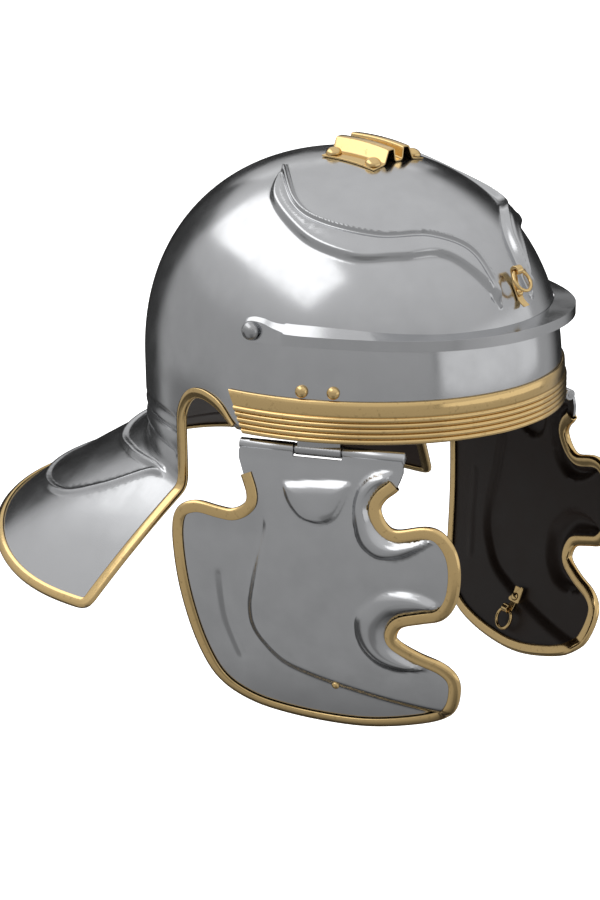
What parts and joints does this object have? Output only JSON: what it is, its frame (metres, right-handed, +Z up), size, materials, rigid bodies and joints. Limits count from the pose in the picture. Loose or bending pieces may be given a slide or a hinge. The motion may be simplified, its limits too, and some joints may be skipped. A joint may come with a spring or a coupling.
{
  "type": "roman legionary helmet",
  "caption": "Polished steel legionary helmet with a ribbed nape, sloping neck guard, brow guard, brass edging and hinged cheek pieces.",
  "frame": {"origin": "middle of the head opening on the level of the bowl's rim, where the helmet sits on a head", "axes": "+Z up through the crown, the wearer faces -Y, and +X is the wearer's left"},
  "size_m": [0.2978, 0.3176, 0.2949],
  "materials": {
    "steel": "polished to a mirror",
    "brass": "polished, pale yellow"
  },
  "bodies": {
    "helmet": {"bowl": "steel", "ear_neck_trim": "brass", "brow_band": "brass", "brow_guard": "steel", "brow_rivet_right": "steel", "brow_rivet_left": "steel", "crest_box": "brass", "crest_rivet_1": "brass", "crest_rivet_2": "brass", "crest_rivet_3": "brass", "crest_rivet_4": "brass", "front_hook": "brass", "hook_ring": "brass", "hook_rivet": "brass", "hinge_leaf_right": "steel", "hinge_leaf_left": "steel", "hinge_pin_right": "steel", "hinge_pin_left": "steel", "hinge_rivet_front_right": "brass", "hinge_rivet_back_right": "brass", "hinge_rivet_front_left": "brass", "hinge_rivet_back_left": "brass"},
    "cheek_right": {"cheek_plate_right": "steel", "cheek_trim_right": "brass", "tie_plate_right": "brass", "tie_ring_right": "brass", "tie_rivet_right": "brass"},
    "cheek_left": {"cheek_plate_left": "steel", "cheek_trim_left": "brass", "tie_plate_left": "brass", "tie_ring_left": "brass", "tie_rivet_left": "brass"}
  },
  "joints": [
    {"name": "cheek_hinge_right", "type": "hinge", "parent": "helmet", "child": "cheek_right", "pos_m": [-0.08635, -0.05175, -0.0056], "axis": [-0.3367, 0.9416, 0], "range_deg": [-12, 80]},
    {"name": "cheek_hinge_left", "type": "hinge", "parent": "helmet", "child": "cheek_left", "pos_m": [0.08635, -0.05175, -0.0056], "axis": [-0.3367, -0.9416, 0], "range_deg": [-12, 80]}
  ]
}
